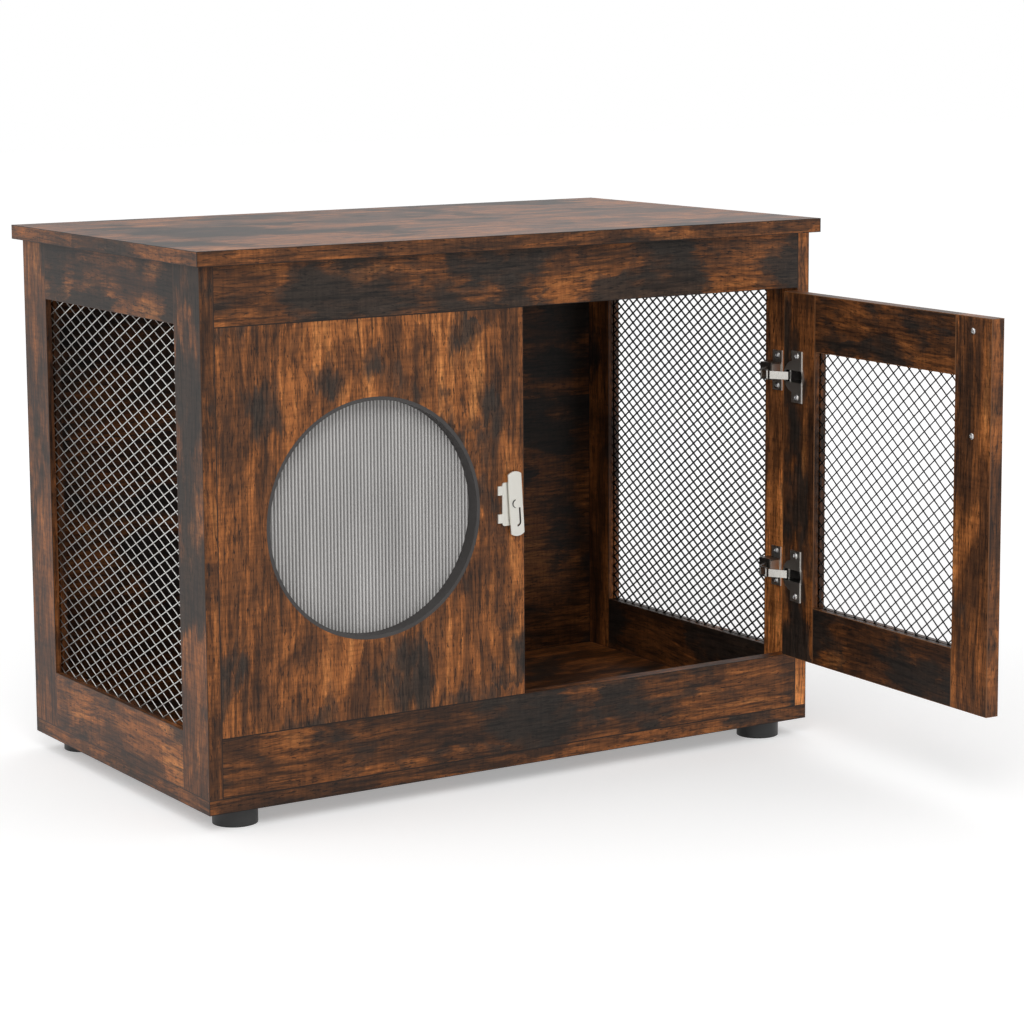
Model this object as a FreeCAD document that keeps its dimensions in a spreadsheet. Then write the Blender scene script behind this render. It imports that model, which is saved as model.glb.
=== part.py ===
import FreeCAD, Part
import math
import os
import re
import Sketcher

# Dog crate end table: a cabinet with mesh sides, a fixed front panel with a round window,
# a framed mesh door on two concealed hinges, and a turn latch.
# Millimetres, +Z up, the front faces -Y. The origin is on the floor, centred between the feet.
# The door is stored open, at the angle the piece is shown at.

doc = FreeCAD.newDocument("DogCrateEndTable")
sheet = doc.addObject("Spreadsheet::Sheet", "Sizes")

# ---- driving dimensions -------------------------------------------------------------------

SIZES = {
    # cabinet
    "BodyWidth": 785,
    "BodyDepth": 450,
    "SideHeight": 560,
    "BoardThickness": 16,
    "TopOverhangSide": 7.5,
    "TopOverhangFront": 12,
    "TopOverhangBack": 14,
    "SideStileWidth": 60,
    "RailHeight": 64,
    "BackLowerHeight": 325,
    # front
    "FixedPanelWidth": 375.5,
    "SeamGap": 2.5,
    "HingeGap": 2.5,
    "DoorGap": 2.5,
    "DoorStileWidth": 60,
    "DoorRailHeight": 65,
    # wire mesh and its grooves
    "MeshThickness": 1.6,
    "MeshGrooveWidth": 2.4,
    "MeshGrooveDepth": 6,
    "MeshGrooveEnd": 0.5,
    "MeshCellWidth": 36,
    "MeshCellHeight": 30,
    "MeshWireWidth": 2.2,
    "MeshLeastSliver": 1,
    # window
    "WindowRadius": 131,
    "GasketInnerRadius": 127,
    "PaneRadius": 142.5,
    "GasketThickness": 1.5,
    "GasketFit": 0.1,
    "PaneThickness": 3,
    "WindowScrewCircle": 137,
    "WindowScrewCount": 8,
    "WindowScrewRadius": 1.75,
    "WindowScrewLength": 12,
    "WindowScrewHeadRadius": 3.6,
    "WindowScrewHeadHeight": 2.2,
    # feet
    "FootRadius": 24.5,
    "FootHeight": 20,
    "FootInsetSide": 46,
    "FootInsetEnd": 33,
    "FootStudRadius": 4,
    "FootStudInFoot": 9,
    "FootStudInBase": 12,
    # dowels and screws that hold the boards
    "DowelRadius": 4,
    "DowelLength": 30,
    "DowelShallowEnd": 11,
    "DowelPitch": 26,
    "DowelFit": 0.05,
    "DowelEndRoom": 1,
    "BackDowelEnd": 54,
    "BaseScrewRadius": 3.5,
    "BaseScrewLength": 48,
    "BaseScrewHeadRadius": 5,
    "BaseScrewHeadHeight": 3,
    "BaseScrewInset": 30,
    "BaseScrewRow": 260,
    # cam locks that hold the table top
    "CamRadius": 7.5,
    "CamDepth": 12,
    "CamDrop": 24,
    "CamSpacing": 200,
    "CamBoltRadius": 3,
    "CamBoltHeadRadius": 3.6,
    "CamBoltHeadHeight": 3,
    "CamBoltGrip": 11,
    # concealed hinges
    "HingeEndDistance": 97,
    "CupRadius": 17.5,
    "CupEdgeDistance": 3.2,
    "CupBoreFloor": 2.5,
    "CupWall": 0.8,
    "CupPinReach": 9,
    "CupMouthHalf": 7,
    "FlangeThickness": 1.2,
    "FlangeRimRadius": 18.6,
    "FlangeHeight": 60,
    "FlangeToEdge": 4,
    "FlangeFromEdge": 16,
    "CupScrewSpacing": 48,
    "CupScrewOffset": 5.5,
    "CupScrewRadius": 1.8,
    "CupScrewLength": 11,
    "CupScrewHeadRadius": 3.8,
    "CupScrewHeadHeight": 1.6,
    # pivots, from the side's inner face (across) and the front face (back), door closed
    "ArmPinAcross": 36.6,
    "ArmPinBack": 8.7,
    "CupPinAcross": 9.4,
    "CupPinBack": 11.5,
    "LinkTurnShare": 0.646,
    "DoorOpenAngle": 88,
    "PinRadius": 0.95,
    "PinFit": 0.05,
    "LinkEyeRadius": 1.6,
    "LinkPlateThickness": 1.6,
    "LinkWidth": 9,
    "LinkFirstKneeAcross": 32.2,
    "LinkFirstKneeBack": 5.6,
    "LinkSecondKneeAcross": 10.2,
    "LinkSecondKneeBack": 4.6,
    "ArmCheekInner": 4.7,
    "ArmCheekOuter": 5.7,
    "ArmNeckHalf": 1.1,
    "ArmElbowBack": 20,
    "ArmBodyTop": 17,
    "ArmBodyFront": 28,
    "ArmBodyBack": 48,
    "ArmBodyWidth": 20,
    "ArmNeckEndAcross": 16.3,
    "ArmNeckEndBack": 33.8,
    "ArmWall": 1.5,
    "PlateThickness": 2,
    "PlateBlockWidth": 16,
    "PlateWingFront": 27,
    "PlateWingBack": 44,
    "PlateHeight": 47,
    "PlateScrewSpacing": 36,
    "PlateScrewRadius": 2,
    "PlateScrewLength": 13,
    "PlateScrewHeadRadius": 3.8,
    "PlateScrewHeadHeight": 1.8,
    "ArmScrewRadius": 2.5,
    "ArmScrewLength": 9,
    "ArmScrewBack": 41,
    "ArmScrewHeadRadius": 4,
    "ArmScrewHeadHeight": 2,
    # door pull, held by the two screws in the free stile
    "PullScrewSpacing": 112,
    "PullScrewTop": 15.5,
    "PullScrewEdge": 31,
    "PullStandOff": 18,
    "PullBarWidth": 8,
    "PullBarThickness": 4,
    "PullPostRadius": 3.5,
    "PullScrewRadius": 2,
    "PullScrewGrip": 10,
    "PullScrewHeadRadius": 3.5,
    "PullScrewHeadHeight": 1.4,
    # turn latch on the fixed panel
    "LatchEdgeDistance": 13,
    "LatchBarLength": 72,
    "LatchBarTilt": 3.4,
    "LatchBarWidth": 17,
    "LatchBarThickness": 2,
    "LatchEndRise": 3,
    "LatchBaseThickness": 1.5,
    "LatchBaseHeight": 48,
    "LatchBaseLeft": 16,
    "LatchBaseRight": 8,
    "LatchBaseCorner": 3,
    "LatchEarWidth": 6,
    "LatchEarHeight": 10,
    "LatchEarOffset": 15.5,
    "LatchEarThickness": 2.4,
    "LatchBarGap": 1.2,
    "LatchRivetRadius": 2.5,
    "LatchShoulderRadius": 4,
    "LatchRivetHeadRadius": 4.8,
    "LatchRivetHeadHeight": 0.9,
    "LatchRivetDepth": 10,
    "LatchSlotWidth": 1.7,
    "LatchSlotAcross": 4,
    "LatchSlotTop": 4.9,
    "LatchSlotBottom": 20.5,
    "LatchScrewOffset": 15,
    "LatchScrewRadius": 1.5,
    "LatchScrewLength": 10,
    "LatchScrewHeadRadius": 2.8,
    "LatchScrewHeadHeight": 0.8,
}

for row, (alias, value) in enumerate(SIZES.items(), start=1):
    sheet.set("A%d" % row, alias)
    sheet.set("B%d" % row, str(value))
    sheet.setAlias("B%d" % row, alias)
doc.recompute()


# ---- derived measures, as formulas over the sheet --------------------------------------------

side_inner = "(BodyWidth/2-BoardThickness)"
side_middle = "(BodyWidth/2-BoardThickness/2)"
front_face = "(-BodyDepth/2)"
front_back = "(BoardThickness-BodyDepth/2)"
front_middle = "(BoardThickness/2-BodyDepth/2)"
back_middle = "(BodyDepth/2-BoardThickness/2)"
side_foot = "(FootHeight+BoardThickness)"
side_head = "(FootHeight+BoardThickness+SideHeight)"
low_rail_middle = "(FootHeight+BoardThickness+RailHeight/2)"
high_rail_middle = "(FootHeight+BoardThickness+SideHeight-RailHeight/2)"
opening_low = "(FootHeight+BoardThickness+RailHeight)"
opening_high = "(FootHeight+BoardThickness+SideHeight-RailHeight)"
opening_middle = "(FootHeight+BoardThickness+SideHeight/2)"
rail_reach = "(BodyDepth/2-SideStileWidth)"
panel_left = "(BoardThickness-BodyWidth/2)"
panel_right = "(BoardThickness-BodyWidth/2+FixedPanelWidth)"
window_across = "(BoardThickness-BodyWidth/2+FixedPanelWidth/2)"
back_joint = "(FootHeight+BoardThickness+BackLowerHeight)"

door_left = "(BoardThickness-BodyWidth/2+FixedPanelWidth+SeamGap)"
door_right = "(BodyWidth/2-BoardThickness-HingeGap)"
door_low = "(FootHeight+BoardThickness+RailHeight+DoorGap)"
door_high = "(FootHeight+BoardThickness+SideHeight-RailHeight-DoorGap)"
door_rail_left = "(BoardThickness-BodyWidth/2+FixedPanelWidth+SeamGap+DoorStileWidth)"
door_rail_right = "(BodyWidth/2-BoardThickness-HingeGap-DoorStileWidth)"

hinge_heights = {
    "upper": "(FootHeight+BoardThickness+SideHeight-RailHeight-DoorGap-HingeEndDistance)",
    "lower": "(FootHeight+BoardThickness+RailHeight+DoorGap+HingeEndDistance)",
}
arm_pin_x = "(BodyWidth/2-BoardThickness-ArmPinAcross)"
arm_pin_y = "(ArmPinBack-BodyDepth/2)"
cup_pin_x = "(BodyWidth/2-BoardThickness-CupPinAcross)"
cup_pin_y = "(CupPinBack-BodyDepth/2)"
cup_middle = "(BodyWidth/2-BoardThickness-HingeGap-CupEdgeDistance-CupRadius)"
link_turn = "(-LinkTurnShare*DoorOpenAngle)"

latch_x = "(BoardThickness-BodyWidth/2+FixedPanelWidth-LatchEdgeDistance)"
latch_bar_back = "(-BodyDepth/2-LatchBaseThickness-LatchBarGap)"
latch_bar_front = "(-BodyDepth/2-LatchBaseThickness-LatchBarGap-LatchBarThickness)"


def bound(formula):
    """Spell a formula so that each size in it reads its cell."""
    return re.sub(r"[A-Z][A-Za-z]+", lambda word: "Sizes." + word.group(0), str(formula))


def value_of(formula):
    """The number a formula stands for, for code that needs it in Python."""
    return float(sheet.evalExpression(bound(formula)))


def plus(first, second):
    return "(%s+(%s))" % (first, second)


def minus(first, second):
    return "(%s-(%s))" % (first, second)


# ---- building blocks ---------------------------------------------------------------------------

nodes = []
axes = {
    "x": FreeCAD.Rotation(FreeCAD.Vector(0, 1, 0), 90),
    "-x": FreeCAD.Rotation(FreeCAD.Vector(0, 1, 0), -90),
    "y": FreeCAD.Rotation(FreeCAD.Vector(1, 0, 0), -90),
    "-y": FreeCAD.Rotation(FreeCAD.Vector(1, 0, 0), 90),
    "z": FreeCAD.Rotation(),
    "-z": FreeCAD.Rotation(FreeCAD.Vector(1, 0, 0), 180),
}


def place(thing, x, y, z):
    thing.setExpression("Placement.Base.x", bound(x))
    thing.setExpression("Placement.Base.y", bound(y))
    thing.setExpression("Placement.Base.z", bound(z))
    return thing


def block(x0, x1, y0, y1, z0, z1):
    """A box between two corners, each given by formulas."""
    box = doc.addObject("Part::Box", "Block")
    box.setExpression("Length", bound(minus(x1, x0)))
    box.setExpression("Width", bound(minus(y1, y0)))
    box.setExpression("Height", bound(minus(z1, z0)))
    return place(box, x0, y0, z0)


def rod(x, y, z, axis, radius, length):
    """A cylinder that starts at a point and runs along an axis."""
    cylinder = doc.addObject("Part::Cylinder", "Rod")
    cylinder.setExpression("Radius", bound(radius))
    cylinder.setExpression("Height", bound(length))
    cylinder.Placement.Rotation = axes[axis]
    return place(cylinder, x, y, z)


def along(x, y, z, axis, distance):
    """The point a distance along an axis from another point."""
    sign = "-" if axis[0] == "-" else ""
    shift = "%s(%s)" % (sign, distance)
    return (
        plus(x, shift) if axis[-1] == "x" else x,
        plus(y, shift) if axis[-1] == "y" else y,
        plus(z, shift) if axis[-1] == "z" else z,
    )


def fuse(parts):
    joined = doc.addObject("Part::MultiFuse", "Joined")
    joined.Shapes = parts
    return joined


def common(first, second):
    shared = doc.addObject("Part::MultiCommon", "Shared")
    shared.Shapes = [first, second]
    return shared


def cut(base, tools):
    """Take tools out of a base, joined first so that they may cross each other."""
    rest = doc.addObject("Part::Cut", "Rest")
    rest.Base = base
    rest.Tool = tools[0] if len(tools) == 1 else fuse(tools)
    return rest


def group(parts):
    gathered = doc.addObject("Part::Compound", "Group")
    gathered.Links = parts
    return gathered


def screw(x, y, z, axis, shank_radius, length, head_radius, head_height):
    """A screw whose head sits on the point and whose shank runs along the axis."""
    head_start = along(x, y, z, axis, "-(%s)" % head_height)
    head = rod(*head_start, axis, head_radius, head_height)
    shank = rod(x, y, z, axis, shank_radius, length)
    return fuse([head, shank])


def dowel_pair(x, y, z, axis, behind):
    """A dowel through a joint face at the point, and the roomier hole it lies in."""
    start = along(x, y, z, axis, "-(%s)" % behind)
    hole_start = along(x, y, z, axis, "-(%s+DowelEndRoom)" % behind)
    pin = rod(*start, axis, "DowelRadius", "DowelLength")
    hole = rod(*hole_start, axis, "DowelRadius+DowelFit", "DowelLength+2*DowelEndRoom")
    return pin, hole


def dowels(spots):
    """Dowels at joint points, as a group, and their holes."""
    pairs = [dowel_pair(*spot) for spot in spots]
    return group([pair[0] for pair in pairs]), [pair[1] for pair in pairs]


def strip(start, end, half, z0, z1):
    """A flat strip of constant thickness between two points of the plan."""
    across = minus(end[0], start[0])
    back = minus(end[1], start[1])
    length = "sqrt(pow(%s;2)+pow(%s;2))" % (across, back)
    piece = doc.addObject("Part::Box", "Strip")
    piece.setExpression("Length", bound(length))
    piece.setExpression("Width", bound("2*(%s)" % half))
    piece.setExpression("Height", bound(minus(z1, z0)))
    piece.setExpression("Placement.Rotation.Angle", bound("atan2(%s;%s)" % (back, across)))
    return place(
        piece,
        plus(start[0], "(%s)*(%s)/%s" % (half, back, length)),
        minus(start[1], "(%s)*(%s)/%s" % (half, across, length)),
        z0,
    )


def outline_body(name, corners, holes, depth_formula):
    """A PartDesign plate in the XZ plane: straight outline, round holes, padded towards +Y."""
    body = doc.addObject("PartDesign::Body", name)
    sketch = body.newObject("Sketcher::SketchObject", name + "_outline")
    plane = [item for item in body.Origin.OriginFeatures if item.Role == "XZ_Plane"][0]
    sketch.AttachmentSupport = [(plane, "")]
    sketch.MapMode = "FlatFace"
    points = [FreeCAD.Vector(value_of(x), value_of(z), 0) for x, z in corners]
    count = len(points)
    for index in range(count):
        line = Part.LineSegment(points[index], points[(index + 1) % count])
        sketch.addGeometry(line, False)
    for index in range(count):
        sketch.addConstraint(Sketcher.Constraint("Coincident", index, 2, (index + 1) % count, 1))
    for index, (x, z) in enumerate(corners):
        point = points[index]
        for kind, formula, measure in (("DistanceX", x, point.x), ("DistanceY", z, point.y)):
            number = sketch.addConstraint(Sketcher.Constraint(kind, -1, 1, index, 1, measure))
            sketch.setExpression("Constraints[%d]" % number, bound(formula))
    for x, z, radius in holes:
        centre = FreeCAD.Vector(value_of(x), value_of(z), 0)
        circle = Part.Circle(centre, FreeCAD.Vector(0, 0, 1), value_of(radius))
        ring = sketch.addGeometry(circle, False)
        for kind, formula, measure in (("DistanceX", x, centre.x), ("DistanceY", z, centre.y)):
            number = sketch.addConstraint(Sketcher.Constraint(kind, -1, 1, ring, 3, measure))
            sketch.setExpression("Constraints[%d]" % number, bound(formula))
        number = sketch.addConstraint(Sketcher.Constraint("Radius", ring, value_of(radius)))
        sketch.setExpression("Constraints[%d]" % number, bound(radius))
    pad = body.newObject("PartDesign::Pad", name + "_pad")
    pad.Profile = sketch
    pad.Reversed = True
    pad.setExpression("Length", bound(depth_formula))
    sketch.Visibility = False
    return body


def node(name, thing, swing=None):
    """Name a finished piece; a swinging one is turned about its pin to where it rests."""
    thing.Label = name
    if swing:
        thing.Placement.Rotation = FreeCAD.Rotation(FreeCAD.Vector(0, 0, 1), 1)
        thing.setExpression("Placement.Rotation.Angle", bound(swing["angle"]))
        turned_x = "(cos(%s)*%s-sin(%s)*%s)" % (swing["angle"], swing["x"], swing["angle"], swing["y"])
        turned_y = "(sin(%s)*%s+cos(%s)*%s)" % (swing["angle"], swing["x"], swing["angle"], swing["y"])
        place(thing, minus(swing["to_x"], turned_x), minus(swing["to_y"], turned_y), "0")
    nodes.append(thing)
    return thing


# The link turns back on the arm's pin by a share of the door's angle and carries the cup's pin.
pin_reach_x = minus(cup_pin_x, arm_pin_x)
pin_reach_y = minus(cup_pin_y, arm_pin_y)
rest_pin_x = "(%s+cos%s*%s-sin%s*%s)" % (arm_pin_x, link_turn, pin_reach_x, link_turn, pin_reach_y)
rest_pin_y = "(%s+sin%s*%s+cos%s*%s)" % (arm_pin_y, link_turn, pin_reach_x, link_turn, pin_reach_y)
link_swing = {
    "angle": link_turn,
    "x": arm_pin_x,
    "y": arm_pin_y,
    "to_x": arm_pin_x,
    "to_y": arm_pin_y,
}
door_swing = {
    "angle": "(DoorOpenAngle)",
    "x": cup_pin_x,
    "y": cup_pin_y,
    "to_x": rest_pin_x,
    "to_y": rest_pin_y,
}

# ---- fasteners, made first because the boards are cut by them ------------------------------------

half_pitch = "DowelPitch/2"
half_dowel = "DowelLength/2"
rail_rows = []
for rail_middle in (low_rail_middle, high_rail_middle):
    rail_rows += [plus(rail_middle, half_pitch), minus(rail_middle, half_pitch)]
sides = {"left": "-", "right": ""}

side_dowel_spots = {}
front_dowel_spots = {}
for side, sign in sides.items():
    x = "(%s%s)" % (sign, side_middle)
    side_dowel_spots[side] = [
        (x, "(%s%s)" % (end, rail_reach), z, "y", half_dowel) for z in rail_rows for end in ("-", "+")
    ]
    face = "(%s%s)" % (sign, side_inner)
    inward = "x" if side == "left" else "-x"
    front_dowel_spots[side] = [(face, front_middle, z, inward, "DowelShallowEnd") for z in rail_rows]

side_dowels, side_dowel_holes = dowels(side_dowel_spots["left"] + side_dowel_spots["right"])
front_dowels, front_dowel_holes = dowels(front_dowel_spots["left"] + front_dowel_spots["right"])

panel_edge_rows = [plus(opening_middle, "%s(WindowRadius)" % sign) for sign in "+-"]
panel_columns = [plus(window_across, "%s(WindowRadius)" % sign) for sign in "+-"]
panel_dowel_spots = [(panel_left, front_middle, z, "x", "DowelShallowEnd") for z in panel_edge_rows]
panel_dowel_spots += [(x, front_middle, opening_low, "z", half_dowel) for x in panel_columns]
panel_dowel_spots += [(x, front_middle, opening_high, "-z", half_dowel) for x in panel_columns]
panel_dowels, panel_dowel_holes = dowels(panel_dowel_spots)

back_rows = [
    plus(side_foot, "BackDowelEnd"),
    minus(back_joint, "BackDowelEnd"),
    plus(back_joint, "BackDowelEnd"),
    minus(side_head, "BackDowelEnd"),
]
back_dowel_spots = []
for side, sign in sides.items():
    face = "(%s%s)" % (sign, side_inner)
    inward = "x" if side == "left" else "-x"
    back_dowel_spots += [(face, back_middle, z, inward, "DowelShallowEnd") for z in back_rows]
for share in ("-", "0*", ""):
    back_dowel_spots.append((share + "BaseScrewRow/2", back_middle, back_joint, "z", half_dowel))
back_dowels, back_dowel_holes = dowels(back_dowel_spots)

door_rows = [
    plus(door_low, "DoorRailHeight/2+DowelPitch/2"),
    plus(door_low, "DoorRailHeight/2-DowelPitch/2"),
    minus(door_high, "DoorRailHeight/2+DowelPitch/2"),
    minus(door_high, "DoorRailHeight/2-DowelPitch/2"),
]
door_dowel_spots = []
for x in (door_rail_left, door_rail_right):
    door_dowel_spots += [(x, front_middle, z, "x", half_dowel) for z in door_rows]
door_dowels, door_dowel_holes = dowels(door_dowel_spots)

screw_seat = "(FootHeight+BaseScrewHeadHeight)"
base_screw_spots = []
for sign in ("-", ""):
    for y in ("(BaseScrewInset-BodyDepth/2)", "0", "(BodyDepth/2-BaseScrewInset)"):
        base_screw_spots.append(("(%s%s)" % (sign, side_middle), y))
    for y in (front_middle, back_middle):
        base_screw_spots.append(("(%sBaseScrewRow/2)" % sign, y))
base_screws = group([
    screw(x, y, screw_seat, "z",
          "BaseScrewRadius", "BaseScrewLength", "BaseScrewHeadRadius", "BaseScrewHeadHeight")
    for x, y in base_screw_spots
])

# Cam locks pull the table top down on the side rails.
cam_height = minus(side_head, "CamDrop")
bolt_start = minus(cam_height, "CamBoltHeadHeight/2")
bolt_length = "CamDrop+CamBoltHeadHeight/2+CamBoltGrip"
cam_tools = []
cam_bolts = []
for side, sign in sides.items():
    outward = "-x" if side == "left" else "x"
    face = "(%s%s)" % (sign, side_inner)
    bolt_x = "(%s%s)" % (sign, side_middle)
    for turn in ("-", ""):
        y = "(%sCamSpacing/2)" % turn
        cam_tools.append(rod(face, y, cam_height, outward, "CamRadius", "CamDepth"))
        bolt_head = rod(bolt_x, y, bolt_start, "z", "CamBoltHeadRadius", "CamBoltHeadHeight")
        bolt_shank = rod(bolt_x, y, bolt_start, "z", "CamBoltRadius", bolt_length)
        cam_bolts.append(fuse([bolt_head, bolt_shank]))
top_cam_bolts = group(cam_bolts)
top_cam_locks = cut(group(cam_tools), [top_cam_bolts])

# Screws of the hinge plates, into the edge strip of the right side.
plate_screw_back = "((PlateWingFront+PlateWingBack)/2-BodyDepth/2)"
plate_face = minus(side_inner, "PlateThickness")
plate_screw_list = []
for height in hinge_heights.values():
    for screw_height in (plus(height, "PlateScrewSpacing/2"), minus(height, "PlateScrewSpacing/2")):
        plate_screw_list.append(screw(
            plate_face, plate_screw_back, screw_height, "x",
            "PlateScrewRadius", "PlateScrewLength", "PlateScrewHeadRadius", "PlateScrewHeadHeight",
        ))
plate_screws = group(plate_screw_list)

# ---- top and base ---------------------------------------------------------------------------------

top_board = block(
    "-BodyWidth/2-TopOverhangSide", "BodyWidth/2+TopOverhangSide",
    "-BodyDepth/2-TopOverhangFront", "BodyDepth/2+TopOverhangBack",
    side_head, plus(side_head, "BoardThickness"),
)
node("top_board", cut(top_board, [top_cam_bolts]))

# Feet, each on a threaded stud that goes up into the base.
foot_spots = {
    "front_left": ("(FootInsetSide-BodyWidth/2)", "(FootInsetEnd-BodyDepth/2)"),
    "front_right": ("(BodyWidth/2-FootInsetSide)", "(FootInsetEnd-BodyDepth/2)"),
    "back_left": ("(FootInsetSide-BodyWidth/2)", "(BodyDepth/2-FootInsetEnd)"),
    "back_right": ("(BodyWidth/2-FootInsetSide)", "(BodyDepth/2-FootInsetEnd)"),
}
foot_studs = group([
    rod(x, y, "FootHeight-FootStudInFoot", "z", "FootStudRadius", "FootStudInFoot+FootStudInBase")
    for x, y in foot_spots.values()
])
for corner_name, (x, y) in foot_spots.items():
    foot = rod(x, y, "0", "z", "FootRadius", "FootHeight")
    node(corner_name + "_foot", cut(foot, [foot_studs]))

base_board = block(
    "-BodyWidth/2", "BodyWidth/2", "-BodyDepth/2", "BodyDepth/2", "FootHeight", side_foot,
)
node("base_board", cut(base_board, [base_screws, foot_studs]))

# ---- side frames, each a mesh held in a groove of two stiles and two rails -------------------------


def net(width, height):
    """One flat face with diamond gaps, centred on the origin, in the YZ plane."""
    half_wide = value_of(width) / 2
    half_high = value_of(height) / 2
    hidden = value_of("MeshGrooveDepth-MeshGrooveEnd")
    cell_wide = value_of("MeshCellWidth")
    cell_high = value_of("MeshCellHeight")
    sliver = value_of("MeshLeastSliver")
    slant = math.hypot(cell_wide, cell_high)
    shrink = 1 - value_of("MeshWireWidth") * slant / (cell_wide * cell_high)
    reach_wide = cell_wide / 2 * shrink
    reach_high = cell_high / 2 * shrink
    wires = [rectangle(half_wide + hidden, half_high + hidden)]
    columns = math.ceil(2 * half_wide / cell_wide)
    rows = math.ceil(2 * half_high / cell_high)
    for column in range(-columns, columns + 1):
        for row in range(-rows, rows + 1):
            if (column + row) % 2:
                continue
            y = column * cell_wide / 2
            z = row * cell_high / 2
            diamond = [
                (y + reach_wide, z), (y, z + reach_high), (y - reach_wide, z), (y, z - reach_high),
            ]
            gap = clipped(diamond, half_wide, half_high)
            if len(gap) > 2 and area(gap) > slant * sliver:
                wires.append(closed(gap))
    print("net", len(wires) - 1, "gaps")
    return Part.makeFace(wires, "Part::FaceMakerBullseye")


def rectangle(half_wide, half_high):
    return closed([
        (half_wide, half_high), (-half_wide, half_high), (-half_wide, -half_high), (half_wide, -half_high),
    ])


def closed(points):
    corners = [FreeCAD.Vector(0, y, z) for y, z in points]
    return Part.makePolygon(corners + [corners[0]])


def area(points):
    following = points[1:] + points[:1]
    return abs(sum(a[0] * b[1] - b[0] * a[1] for a, b in zip(points, following))) / 2


def clipped(points, half_wide, half_high):
    """Keep the part of a convex outline that lies in the frame's opening."""
    for axis, limit in ((0, half_wide), (1, half_high)):
        for sign in (1, -1):
            kept = []
            for here, there in zip(points, points[1:] + points[:1]):
                room = limit - sign * here[axis]
                next_room = limit - sign * there[axis]
                if room >= 0:
                    kept.append(here)
                if room * next_room < 0:
                    part = room / (room - next_room)
                    crossing = [here[way] + part * (there[way] - here[way]) for way in (0, 1)]
                    kept.append(tuple(crossing))
            points = kept
            if not points:
                return points
    return points


def mesh_sheet(face, turn):
    """A net thickened about its own plane."""
    flat = doc.addObject("Part::Feature", "Net")
    flat.Shape = face
    flat.Placement = FreeCAD.Placement(FreeCAD.Vector(), turn)
    thick = doc.addObject("Part::Extrusion", "MeshSheet")
    thick.Base = flat
    thick.DirMode = "Normal"
    thick.Symmetric = True
    thick.Solid = True
    thick.setExpression("LengthFwd", bound("MeshThickness"))
    return thick


groove_half = "MeshGrooveWidth/2"
mesh_low = minus(opening_low, "MeshGrooveDepth")
mesh_high = plus(opening_high, "MeshGrooveDepth")
side_net = net("2*" + rail_reach, minus(opening_high, opening_low))

for side, sign in sides.items():
    outer = "(%sBodyWidth/2)" % sign
    inner = "(%s%s)" % (sign, side_inner)
    x0, x1 = (outer, inner) if sign else (inner, outer)
    middle = "(%s%s)" % (sign, side_middle)
    groove_x0, groove_x1 = minus(middle, groove_half), plus(middle, groove_half)
    for end, y0, y1, mouth0, mouth1 in (
        ("front", front_face, "-" + rail_reach, "-%s-MeshGrooveDepth" % rail_reach, "-" + rail_reach),
        ("back", rail_reach, "BodyDepth/2", rail_reach, "%s+MeshGrooveDepth" % rail_reach),
    ):
        board = block(x0, x1, y0, y1, side_foot, side_head)
        groove = block(groove_x0, groove_x1, mouth0, mouth1, mesh_low, mesh_high)
        end_holes = front_dowel_holes + panel_dowel_holes if end == "front" else back_dowel_holes
        holes = side_dowel_holes + end_holes
        tools = [groove, group(holes), base_screws]
        if (side, end) == ("right", "front"):
            tools.append(plate_screws)
        node("%s_%s_stile" % (side, end), cut(board, tools))
    high = block(x0, x1, "-" + rail_reach, rail_reach, opening_high, side_head)
    high_groove = block(groove_x0, groove_x1, "-" + rail_reach, rail_reach, opening_high, mesh_high)
    high_tools = [high_groove, group(side_dowel_holes), group(cam_tools), top_cam_bolts]
    node(side + "_top_rail", cut(high, high_tools))
    low = block(x0, x1, "-" + rail_reach, rail_reach, side_foot, opening_low)
    low_groove = block(groove_x0, groove_x1, "-" + rail_reach, rail_reach, mesh_low, opening_low)
    node(side + "_bottom_rail", cut(low, [low_groove, group(side_dowel_holes), base_screws]))
    mesh = mesh_sheet(side_net, FreeCAD.Rotation())
    node(side + "_mesh", place(mesh, middle, "0", opening_middle))

# ---- back and front boards -------------------------------------------------------------------------

back_front = "(BodyDepth/2-BoardThickness)"
lower_back = block("-" + side_inner, side_inner, back_front, "BodyDepth/2", side_foot, back_joint)
node("back_panel_lower", cut(lower_back, [group(back_dowel_holes), base_screws]))
upper_back = block("-" + side_inner, side_inner, back_front, "BodyDepth/2", back_joint, side_head)
node("back_panel_upper", cut(upper_back, [group(back_dowel_holes)]))

top_front = block("-" + side_inner, side_inner, front_face, front_back, opening_high, side_head)
node("front_top_rail", cut(top_front, [group(front_dowel_holes + panel_dowel_holes)]))
bottom_front = block("-" + side_inner, side_inner, front_face, front_back, side_foot, opening_low)
node("front_bottom_rail", cut(bottom_front, [group(front_dowel_holes + panel_dowel_holes), base_screws]))

# ---- turn latch ----------------------------------------------------------------------------------

latch_base_front = "(-BodyDepth/2-LatchBaseThickness)"
latch_pin = rod(
    latch_x, plus(front_face, "LatchRivetDepth"), opening_middle, "-y", "LatchRivetRadius",
    "LatchRivetDepth+LatchBaseThickness+LatchBarGap+LatchBarThickness+PinFit+LatchRivetHeadHeight",
)
latch_head = rod(
    latch_x, minus(latch_bar_front, "PinFit"), opening_middle, "-y",
    "LatchRivetHeadRadius", "LatchRivetHeadHeight",
)
latch_shoulder = rod(
    latch_x, latch_base_front, opening_middle, "-y", "LatchShoulderRadius", "LatchBarGap-PinFit",
)
latch_pivot = fuse([latch_pin, latch_head, latch_shoulder])
latch_screws = group([
    screw(latch_x, latch_base_front, plus(opening_middle, sign + "LatchScrewOffset"), "y",
          "LatchScrewRadius", "LatchScrewLength", "LatchScrewHeadRadius", "LatchScrewHeadHeight")
    for sign in "+-"
])

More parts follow.
